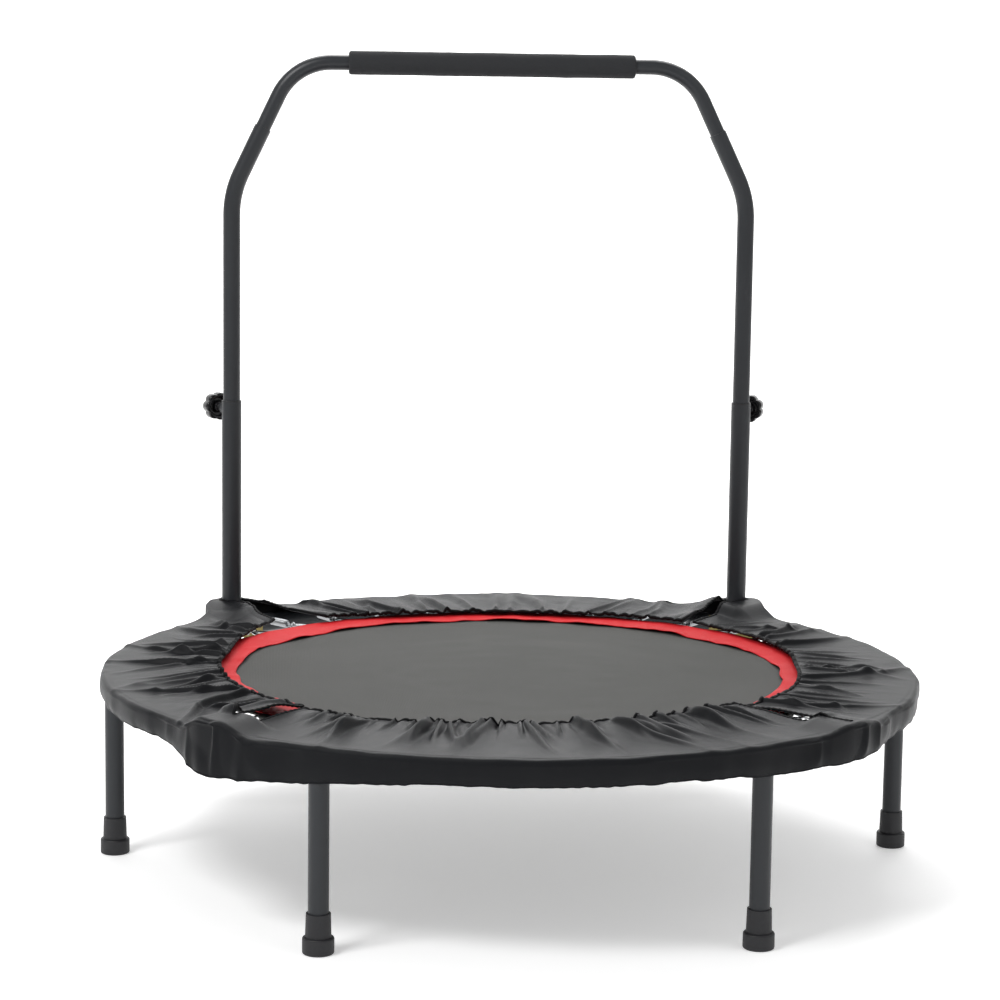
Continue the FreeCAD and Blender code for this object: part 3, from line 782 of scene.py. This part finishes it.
def lower_edge(angle, inside, placed, tent):
    """Height of the skirt's lower edge, uneven and hanging lower round the front-left hinge."""
    low = SKIRT_LOW + 0.0012 * noise(angle, 0.0, 40, 25) + 0.0013 * noise(angle, 0.0, 150, 26)
    low = low + 0.0006 * noise(angle, 0.0, 400, 27)
    low = low + 0.0040 * smooth((30.0 - np.abs(turn_gap(angle, 190.0))) / 14.0)
    low = low - 0.0165 * smooth((inside - 215.0) / 9.0) * smooth((258.0 - inside) / 30.0)
    low = low - 0.0060 * bump(turn_gap(inside, 307.0), 19.0) - 0.004 * tent
    return low - over_hinges(placed, 9.0, 4.5, (0.005, 0.005, 0.0, 0.0))


def settled(push, placed, radius):
    """Folds flattened round the post holes, and never sunk into the hinges."""
    hole = np.zeros_like(radius)
    for post in POST_ANGLES:
        hole = np.maximum(hole, bump(turn_gap(placed, post), 3.2) * smooth((radius - 0.50) / 0.012))
    push = push * (1.0 - 0.8 * hole)
    calm = over_hinges(placed, 7.5, 5.2, (1.0, 1.0, 1.0, 1.0)) * smooth((radius - 0.450) / 0.02)
    return np.where(push < 0, push * (1.0 - calm), push)


def over_springs(height, radius, kind):
    """Heights of the slope eased up to the lowest level that clears the springs."""
    lowest = np.where((kind == SLOPE) & (radius < 0.500), SPRINGS_CLEAR_Z, 0.0)
    eased = lowest + 0.0009 * np.logaddexp(0.0, (height - lowest) / 0.0009)
    return np.where(lowest > 0, eased, height)


def cover_sector(hinge):
    """Points of the cover from one hinge to the next, as a grid of rows and columns."""
    kinds = np.repeat([SLOPE, ROUND, SKIRT], [SLOPE_ROWS, ROUND_ROWS, SKIRT_ROWS])
    steps = np.concatenate([np.linspace(0, 1, SLOPE_ROWS, endpoint=False),
                            np.linspace(0, 1, ROUND_ROWS, endpoint=False),
                            np.linspace(0, 1, SKIRT_ROWS)])
    angle, kind = np.meshgrid(hinge + np.linspace(0.0, 90.0, COLUMNS + 1), kinds)
    t = np.repeat(steps[:, None], COLUMNS + 1, 1)
    inside = np.clip(angle, hinge + 0.01, hinge + 89.99) % 360.0
    hem = hem_radius(inside)
    rough, tent = skirt_radius(turned_aside(angle, hinge, np.full_like(angle, BEYOND_SLITS)))
    place_at = np.where(kind == SLOPE, hem + (rough - CORNER_R + 0.0025 * tent - hem) * t, BEYOND_SLITS)
    placed = turned_aside(angle, hinge, place_at)
    out, tent = skirt_radius(placed)
    out = out + 0.0008 * noise(angle, 1.0, 26, 24)
    low = lower_edge(angle, inside, placed, tent)
    corner = CORNER_R - 0.0025 * tent
    flat = out - corner
    s = np.where(kind == SLOPE, t, 1.0)
    radius = np.where(kind == SLOPE, hem + (flat - hem) * t, flat)
    hem_z = hem_height(angle, inside)
    top = TOP_Z + 0.0026 * smooth((42.0 - np.abs(turn_gap(angle, 90.0))) / 15.0)
    climb = near_post(placed, 11.0) * smooth((radius - 0.43) / 0.085)
    cap = over_hinges(placed, 6.4, 1.5, (0.0154, 0.0080, 0.0152, 0.0080)) * smooth((radius - 0.448) / 0.026)
    level = hem_z + (top - hem_z) * smooth(s) - 0.0010 * np.sin(math.pi * s) + np.maximum(climb, cap)
    lean = np.where(kind == ROUND, t, np.where(kind == SKIRT, 1.0, 0.0)) * math.pi / 2
    drop = np.where(kind == SKIRT, t, 0.0)
    radius = radius + corner * np.sin(lean) + drop * (0.0010 - 0.0040 * drop ** 3)
    height = level - corner * (1.0 - np.cos(lean)) - drop * (level - corner - low)
    push = settled(cover_folds(angle, s, kind, t, lean), placed, radius)
    radius = radius + push * np.sin(lean)
    height = over_springs(height + push * np.cos(lean), radius, kind)
    for slit, which in ((hinge, "after"), ((hinge + 90.0) % 360.0, "before")):
        gap = np.abs(turn_gap(angle, slit))
        height = height + lip_rise(slit, which, place_at, gap) * (kind == SLOPE)
    return polar(radius, placed, height), angle


def lip_rise(hinge, which, radius, gap):
    """How far a slit's lip stands above the cloth round it."""
    high, start, end, half = LIP_RISES[hinge][which]
    along = smooth((radius - start + 0.01) / 0.05) * smooth((end - radius) / 0.016)
    return high * along * bump(gap, half)


def join_sectors(points, rows, columns):
    """Sectors joined beyond each slit: the vertex that stands for each vertex, and the slits' edges."""
    use = np.arange(len(points))
    size = rows * columns
    slits = []
    for k in range(4):
        here = k * size + np.arange(rows) * columns
        there = (k - 1) % 4 * size + np.arange(rows) * columns + columns - 1
        far = np.linalg.norm(points[here, :2] - points[there, :2], axis=1)
        apart = int(np.max(np.nonzero((far > 0.0009) & (np.arange(rows) < SLOPE_ROWS))[0])) + 1
        shared = slice(apart, rows)
        points[here[shared]] = 0.5 * (points[here[shared]] + points[there[shared]])
        use[there[shared]] = here[shared]
        slits.append(np.concatenate([points[there[:apart]], points[here[:apart + 1]][::-1]]))
    return use, slits


def cover_cloth(points, use, angle, rows, columns):
    """The cover's cloth, from the joined sectors."""
    faces = []
    for k in range(4):
        for f in grid_faces(rows, columns, start=k * rows * columns):
            faces.append(tuple(int(use[i]) for i in f))
    section = np.repeat(np.linspace(0.0, 0.18, rows), columns)
    uv = np.stack([np.radians(angle) * COVER_MIDDLE, np.tile(section, 4)], -1)
    keep = np.unique(np.array(faces))
    renumber = -np.ones(len(points), int)
    renumber[keep] = np.arange(len(keep))
    faces = [tuple(int(renumber[i]) for i in f) for f in faces]
    piece = mesh_object("spring_cover", points[keep], faces, uv[keep])
    finish_piece(piece, "cover_fabric")
    thick = piece.modifiers.new("thickness", "SOLIDIFY")
    thick.thickness = CLOTH_T
    thick.offset = 0.0
    return piece


def cover_pieces():
    """Spring cover in one piece, with four slits, two post holes, bound edges and a rolled hem."""
    rows = SLOPE_ROWS + ROUND_ROWS + SKIRT_ROWS
    columns = COLUMNS + 1
    size = rows * columns
    grids = [cover_sector(h) for h in HINGES]
    points = np.concatenate([g[0].reshape(-1, 3) for g in grids])
    angle = np.concatenate([g[1].reshape(-1) for g in grids])
    use, slits = join_sectors(points, rows, columns)
    piece = cover_cloth(points, use, angle, rows, columns)
    binding = mesh_object("slit_binding", *joined([bound_edge(loop) for loop in slits]))
    finish_piece(binding, "cover_fabric", "edge_tape")
    hems = []
    lows = []
    for k in range(4):
        hem = slice(k * size, k * size + columns)
        bead = beads(angle[hem])
        hems.append(swept_tube(points[hem], 0.0016 + 0.0013 * bead, 0.0013 + 0.0012 * bead, 10))
        start = k * size + (rows - 1) * columns
        lows.append(points[start:start + columns - 1])
    hem_roll = mesh_object("hem_roll", *joined(hems))
    finish_piece(hem_roll, "cover_fabric", "edge_tape")
    skirt_hem = mesh_object("skirt_hem", *swept_tube(np.concatenate(lows), 0.0010, 0.0014, 8, closed=True))
    finish_piece(skirt_hem, "cover_fabric")
    return piece, binding, hem_roll, skirt_hem


def bound_edge(path):
    """Tape folded over one slit's edge, a little puckered."""
    steps = np.linalg.norm(np.diff(path, axis=0), axis=1)
    path = path[np.concatenate([[True], steps > 0.0003])]
    place = np.concatenate([[0.0], np.cumsum(np.linalg.norm(np.diff(path, axis=0), axis=1))])
    pucker = 1.0 + 0.25 * np.sin(place * 2 * math.pi / 0.0075) + 0.15 * np.sin(place * 2 * math.pi / 0.0041)
    return swept_tube(path, 0.0023 * pucker, 0.0016 * pucker, 8)


# ---------------------------------------------------------------- knobs and grip


def knob_piece(name, side):
    """Lobed clamp knob with rounded edges, a hollow inner face and a hub."""
    outline = [(0.0041, 0.0400), (0.0062, 0.0400), (0.0066, 0.0404), (0.0068, 0.0480), (0.0080, 0.0492),
               (0.0120, 0.0492), (0.0132, 0.0480), (0.0136, 0.0408), (0.0142, 0.0400), (0.0164, 0.0401),
               (0.0174, 0.0410), (0.0177, 0.0430), (0.0177, 0.0535), (0.0173, 0.0553), (0.0162, 0.0565),
               (0.0140, 0.0570), (0.0090, 0.0573), (0.0030, 0.0574), (0.0005, 0.0574)]
    turns = np.radians(np.linspace(0, 360, 168, endpoint=False))
    lobe = np.abs(np.cos(turns * KNOB_LOBES / 2.0)) ** 0.75
    rows = []
    for radius, along in outline:
        share = float(smooth((radius - 0.0125) / 0.005))
        r = radius + share * (0.0017 - 0.0026 * (1 - lobe))
        rows.append(np.stack([r * np.cos(turns), r * np.sin(turns), np.full(len(turns), along)], -1))
    faces = grid_faces(len(outline), len(turns), close_columns=True)
    faces.append(end_caps(len(outline), len(turns))[1])
    yaw = math.radians(KNOB_YAW)
    way = Vector((side * math.sin(yaw), math.cos(yaw), 0.0))
    spin = way.to_track_quat("Z", "Y").to_matrix().to_4x4()
    place = Matrix.Translation(Vector((side * POST_AT[0], POST_AT[1], KNOB_Z))) @ spin
    piece = mesh_object(name, np.concatenate(rows), faces)
    piece.data.transform(place)
    finish_piece(piece, "knob_plastic")
    return piece


def grip_piece():
    """Foam sleeve with rounded ends and the slight unevenness of soft foam."""
    sides = 64
    ease = 0.003 * (1 - np.cos(np.linspace(0, math.pi / 2, 7)))
    x = np.concatenate([-GRIP_HALF + ease, np.linspace(-GRIP_HALF + 0.006, GRIP_HALF - 0.006, 150),
                        GRIP_HALF - ease[::-1]])
    turns = np.linspace(0, 360, sides, endpoint=False)
    end = np.minimum(x + GRIP_HALF, GRIP_HALF - x)
    radius = GRIP_R - 0.0035 * (1 - np.sqrt(np.clip(1 - (1 - np.clip(end / 0.0035, 0, 1)) ** 2, 0, 1)))
    a, xx = np.meshgrid(turns, x)
    rr = radius[:, None] + 0.00025 * noise(a, xx * 30.0, 6, 51) + 0.00012 * noise(a, xx * 120.0, 14, 52)
    body = np.stack([xx, rr * np.cos(np.radians(a)), rr * np.sin(np.radians(a))], -1)
    bore = GRIP_BORE_R * np.stack([np.zeros(sides), np.cos(np.radians(turns)), np.sin(np.radians(turns))], -1)
    points = np.concatenate([bore + [x[0], 0.0, 0.0], body.reshape(-1, 3), bore + [x[-1], 0.0, 0.0]])
    faces = grid_faces(len(x) + 2, sides, close_rows=True, close_columns=True)
    piece = mesh_object("foam_sleeve", points + [0.0, POST_AT[1], GRIP_Z], faces)
    finish_piece(piece, "grip_foam")
    return piece


# ---------------------------------------------------------------- build


paint_frame()

BACK = (45.0, 135.0)
FRONT = (225.0, 315.0)
mat = mat_piece()
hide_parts("mat_back_half", "mat_front_half")
bend_over_fold(mat)
for body, starts in (("back_half", BACK), ("front_half", FRONT)):
    angles = [a for start in starts for a in spring_angles(start)]
    loops = mat_loops(angles, "mat_loops_" + body)
    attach(loops, body)
    springs = spring_set("coil_springs_" + body, starts, 5)
    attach(springs, body)
    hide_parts("springs_" + body)

band = band_piece()
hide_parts("edge_band_back_half", "edge_band_front_half")
bend_over_fold(band)

cover, binding, hem_roll, skirt_hem = cover_pieces()
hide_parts("cover_back", "cover_left", "cover_front", "cover_right")
for piece in (cover, binding, hem_roll, skirt_hem):
    bend_over_fold(piece)

for name, side in (("left", -1.0), ("right", 1.0)):
    knob = knob_piece("lobed_knob_" + name, side)
    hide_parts("clamp_knob_" + name)
    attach(knob, "knob_" + name)

grip = grip_piece()
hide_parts("foam_grip")
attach(grip, "handrail")

# ---------------------------------------------------------------- stage


def area_light(name, place, target, size, power):
    """Soft rectangular light aimed at a point."""
    data = bpy.data.lights.new(name, "AREA")
    data.shape = "RECTANGLE"
    data.size, data.size_y = size
    data.energy = power
    lamp = bpy.data.objects.new(name, data)
    lamp.location = place
    lamp.rotation_euler = (Vector(target) - Vector(place)).to_track_quat("-Z", "Y").to_euler()
    bpy.context.scene.collection.objects.link(lamp)


def studio():
    """Pale seamless floor and backdrop with large soft lights."""
    xs = np.linspace(-9.0, 9.0, 5)
    bend = np.linspace(0, math.pi / 2, 16)
    section = [(-9.0, 0.0), (0.0, 0.0), (3.5, 0.0)]
    section += [(3.5 + 1.5 * math.sin(b), 1.5 - 1.5 * math.cos(b)) for b in bend[1:]]
    section += [(5.0, 7.0)]
    points = [(x, y, z) for y, z in section for x in xs]
    floor = mesh_object("studio_floor", np.array(points), grid_faces(len(section), len(xs)))
    nodes = Nodes("studio_white", (0.92, 0.92, 0.92), 0.9)
    nodes.roughness_from(nodes.texture("TexNoise", Scale=3.0), 0.86, 0.94)
    nodes.set("Emission Color", (1.0, 1.0, 1.0, 1.0))
    nodes.set("Emission Strength", 0.36)
    floor.data.materials.append(nodes.material)
    world = bpy.data.worlds.new("studio")
    bpy.context.scene.world = world
    world.use_nodes = True
    sky = world.node_tree.nodes["Background"]
    sky.inputs["Color"].default_value = (1.0, 1.0, 1.0, 1.0)
    sky.inputs["Strength"].default_value = 0.40
    area_light("key", (-1.9, -1.6, 3.0), (0.0, 0.0, 0.3), (1.2, 1.0), 66.0)
    area_light("fill", (2.6, -1.8, 2.6), (0.0, 0.0, 0.4), (2.4, 2.4), 15.0)
    area_light("top", (0.3, 1.9, 2.9), (0.0, 0.0, 0.2), (2.4, 1.2), 56.0)
    area_light("backdrop", (0.0, 1.6, 3.4), (0.0, 4.9, 1.6), (4.0, 1.2), 150.0)


def camera():
    """Standing eye height, a long lens, a little left of straight ahead."""
    data = bpy.data.cameras.new("view")
    data.sensor_width = 36.0
    data.lens = 99.1
    eye = bpy.data.objects.new("view", data)
    place = Matrix.Translation(Vector((-0.3011, -3.3840, 0.9262)))
    yaw = Matrix.Rotation(math.radians(-4.827), 4, "Z")
    tilt = Matrix.Rotation(math.radians(90.0 - 8.031), 4, "X")
    roll = Matrix.Rotation(math.radians(0.787), 4, "Z")
    eye.matrix_world = place @ yaw @ tilt @ roll
    bpy.context.scene.collection.objects.link(eye)
    bpy.context.scene.camera = eye


studio()
camera()
bpy.context.scene.view_settings.view_transform = "Standard"
